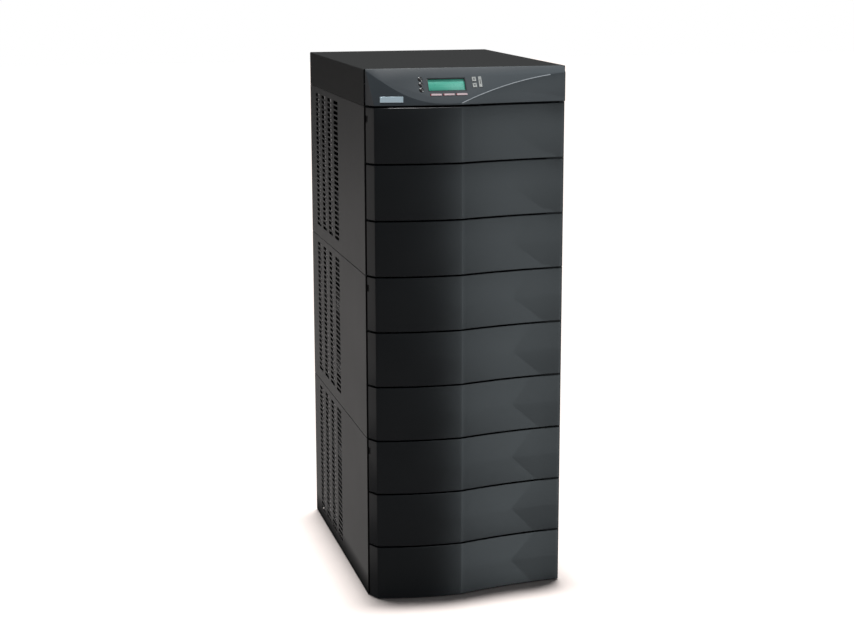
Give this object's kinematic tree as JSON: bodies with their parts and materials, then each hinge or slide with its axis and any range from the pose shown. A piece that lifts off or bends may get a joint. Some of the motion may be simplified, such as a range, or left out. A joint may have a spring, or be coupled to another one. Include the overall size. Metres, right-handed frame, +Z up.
{
  "type": "tower battery cabinet",
  "caption": "Free-standing near-black tower battery and power cabinet with vented sides, wavy stacked front covers and a sloping control head.",
  "frame": {"origin": "on the floor, at the middle of the bounding box's width and depth", "axes": "+Z up, the control head and wavy covers face -Y, +X is to the right of someone facing the front"},
  "size_m": [0.49, 0.7612, 1.2861],
  "materials": {
    "panel_paint": "fine textured near-black powder coat",
    "cap_paint": "satin near-black powder coat",
    "fascia_plastic": "finely grained charcoal moulding",
    "bezel_plastic": "finely grained charcoal moulding",
    "carrier_plastic": "plain black moulding",
    "key_plastic": "light grey moulding",
    "soft_key_rubber": "pale silicone with a red end",
    "display_glass": "green liquid-crystal window in a black surround",
    "lens_plastic": "dark translucent lenses",
    "badge_metal": "blank satin plate",
    "frame_steel": "zinc-plated sheet",
    "tray_paint": "black powder coat",
    "battery_case": "dark grey moulded cases",
    "board_laminate": "green solder mask",
    "capacitor_sleeve": "dark blue sleeves",
    "sink_aluminium": "extruded and plain",
    "fan_plastic": "black glass-filled moulding",
    "breaker_plastic": "black thermoset",
    "lever_plastic": "smooth black",
    "screw_steel": "black zinc pan heads",
    "foot_rubber": "black moulded pads on steel studs"
  },
  "bodies": {
    "cabinet": {"lower_section_frame": "frame_steel", "middle_section_frame": "frame_steel", "upper_section_frame": "frame_steel", "lower_left_panel": "panel_paint", "lower_right_panel": "panel_paint", "middle_left_panel": "panel_paint", "middle_right_panel": "panel_paint", "upper_left_panel": "panel_paint", "upper_right_panel": "panel_paint", "lower_rear_panel": "panel_paint", "middle_rear_panel": "panel_paint", "upper_rear_panel": "panel_paint", "top_cover": "cap_paint", "panel_screws": "screw_steel", "control_bezel": "bezel_plastic", "display_module": "display_glass", "control_board": "board_laminate", "status_lenses": "lens_plastic", "badge_plate": "badge_metal", "power_board": "board_laminate", "capacitor_bank": "capacitor_sleeve", "heat_sinks": "sink_aluminium", "fan_frames": "fan_plastic", "breaker_case": "breaker_plastic"},
    "lower_cover": {"lower_cover_frame": "carrier_plastic", "lower_fascia_1": "fascia_plastic", "lower_fascia_2": "fascia_plastic", "lower_fascia_3": "fascia_plastic"},
    "lower_latch": {"lower_cover_latch": "carrier_plastic"},
    "middle_cover": {"middle_cover_frame": "carrier_plastic", "middle_fascia_1": "fascia_plastic", "middle_fascia_2": "fascia_plastic", "middle_fascia_3": "fascia_plastic"},
    "middle_latch": {"middle_cover_latch": "carrier_plastic"},
    "upper_cover": {"upper_cover_frame": "carrier_plastic", "upper_fascia_1": "fascia_plastic", "upper_fascia_2": "fascia_plastic", "upper_fascia_3": "fascia_plastic"},
    "upper_latch": {"upper_cover_latch": "carrier_plastic"},
    "lower_drawer_1": {"lower_tray_1": "tray_paint", "lower_battery_string_1": "battery_case"},
    "lower_drawer_2": {"lower_tray_2": "tray_paint", "lower_battery_string_2": "battery_case"},
    "middle_drawer_1": {"middle_tray_1": "tray_paint", "middle_battery_string_1": "battery_case"},
    "middle_drawer_2": {"middle_tray_2": "tray_paint", "middle_battery_string_2": "battery_case"},
    "soft_key_left": {"soft_key_left": "soft_key_rubber"},
    "soft_key_middle": {"soft_key_middle": "soft_key_rubber"},
    "soft_key_right": {"soft_key_right": "soft_key_rubber"},
    "up_key": {"up_key": "key_plastic"},
    "down_key": {"down_key": "key_plastic"},
    "enter_key": {"enter_key": "key_plastic"},
    "left_fan_rotor": {"left_fan_rotor": "fan_plastic"},
    "right_fan_rotor": {"right_fan_rotor": "fan_plastic"},
    "breaker_lever": {"breaker_lever": "lever_plastic"},
    "front_left_foot": {"front_left_foot": "foot_rubber"},
    "rear_left_foot": {"rear_left_foot": "foot_rubber"},
    "front_right_foot": {"front_right_foot": "foot_rubber"},
    "rear_right_foot": {"rear_right_foot": "foot_rubber"}
  },
  "joints": [
    {"name": "lower_drawer_1_slide", "type": "slide", "parent": "cabinet", "child": "lower_drawer_1", "axis": [0, -1, 0], "range_m": [0, 0.42]},
    {"name": "lower_drawer_2_slide", "type": "slide", "parent": "cabinet", "child": "lower_drawer_2", "axis": [0, -1, 0], "range_m": [0, 0.42]},
    {"name": "lower_cover_slide", "type": "slide", "parent": "cabinet", "child": "lower_cover", "axis": [0, -1, 0], "range_m": [0, 0.6]},
    {"name": "middle_drawer_1_slide", "type": "slide", "parent": "cabinet", "child": "middle_drawer_1", "axis": [0, -1, 0], "range_m": [0, 0.42]},
    {"name": "middle_drawer_2_slide", "type": "slide", "parent": "cabinet", "child": "middle_drawer_2", "axis": [0, -1, 0], "range_m": [0, 0.42]},
    {"name": "middle_cover_slide", "type": "slide", "parent": "cabinet", "child": "middle_cover", "axis": [0, -1, 0], "range_m": [0, 0.6]},
    {"name": "upper_cover_slide", "type": "slide", "parent": "cabinet", "child": "upper_cover", "axis": [0, -1, 0], "range_m": [0, 0.6]},
    {"name": "lower_latch_slide", "type": "slide", "parent": "lower_cover", "child": "lower_latch", "axis": [1, 0, 0], "range_m": [0, 0.004], "stiffness_N_per_m": 200, "springref_m": -0.002},
    {"name": "middle_latch_slide", "type": "slide", "parent": "middle_cover", "child": "middle_latch", "axis": [1, 0, 0], "range_m": [0, 0.004], "stiffness_N_per_m": 200, "springref_m": -0.002},
    {"name": "upper_latch_slide", "type": "slide", "parent": "upper_cover", "child": "upper_latch", "axis": [1, 0, 0], "range_m": [0, 0.004], "stiffness_N_per_m": 200, "springref_m": -0.002},
    {"name": "soft_key_left_press", "type": "slide", "parent": "cabinet", "child": "soft_key_left", "axis": [0, 0.8445, -0.5355], "range_m": [0, 0.001], "stiffness_N_per_m": 300, "springref_m": -0.0005},
    {"name": "soft_key_middle_press", "type": "slide", "parent": "cabinet", "child": "soft_key_middle", "axis": [0, 0.8445, -0.5355], "range_m": [0, 0.001], "stiffness_N_per_m": 300, "springref_m": -0.0005},
    {"name": "soft_key_right_press", "type": "slide", "parent": "cabinet", "child": "soft_key_right", "axis": [0, 0.8445, -0.5355], "range_m": [0, 0.001], "stiffness_N_per_m": 300, "springref_m": -0.0005},
    {"name": "up_key_press", "type": "slide", "parent": "cabinet", "child": "up_key", "axis": [0, 0.8445, -0.5355], "range_m": [0, 0.001], "stiffness_N_per_m": 300, "springref_m": -0.0005},
    {"name": "down_key_press", "type": "slide", "parent": "cabinet", "child": "down_key", "axis": [0, 0.8445, -0.5355], "range_m": [0, 0.001], "stiffness_N_per_m": 300, "springref_m": -0.0005},
    {"name": "enter_key_press", "type": "slide", "parent": "cabinet", "child": "enter_key", "axis": [0, 0.8445, -0.5355], "range_m": [0, 0.001], "stiffness_N_per_m": 300, "springref_m": -0.0005},
    {"name": "left_fan_spin", "type": "hinge", "parent": "cabinet", "child": "left_fan_rotor", "pos_m": [-0.14, 0.3651, 1.05015], "axis": [0, 1, 0], "continuous": true},
    {"name": "right_fan_spin", "type": "hinge", "parent": "cabinet", "child": "right_fan_rotor", "pos_m": [-0.005, 0.3651, 1.05015], "axis": [0, 1, 0], "continuous": true},
    {"name": "breaker_lever_swing", "type": "hinge", "parent": "cabinet", "child": "breaker_lever", "pos_m": [0.13, 0.3596, 1.05015], "axis": [1, 0, 0], "range_deg": [-66, 0]},
    {"name": "front_left_foot_turn", "type": "hinge", "parent": "cabinet", "child": "front_left_foot", "pos_m": [-0.19, -0.2644, 0], "axis": [0, 0, 1], "continuous": true},
    {"name": "rear_left_foot_turn", "type": "hinge", "parent": "cabinet", "child": "rear_left_foot", "pos_m": [-0.19, 0.3156, 0], "axis": [0, 0, 1], "continuous": true},
    {"name": "front_right_foot_turn", "type": "hinge", "parent": "cabinet", "child": "front_right_foot", "pos_m": [0.19, -0.2644, 0], "axis": [0, 0, 1], "continuous": true},
    {"name": "rear_right_foot_turn", "type": "hinge", "parent": "cabinet", "child": "rear_right_foot", "pos_m": [0.19, 0.3156, 0], "axis": [0, 0, 1], "continuous": true}
  ],
  "couplings": [
    {"joint": "lower_drawer_2_slide", "follows": "lower_drawer_1_slide", "ratio": 1},
    {"joint": "lower_cover_slide", "follows": "lower_drawer_1_slide", "ratio": 1.4285},
    {"joint": "middle_drawer_2_slide", "follows": "middle_drawer_1_slide", "ratio": 1},
    {"joint": "middle_cover_slide", "follows": "middle_drawer_1_slide", "ratio": 1.4285}
  ]
}
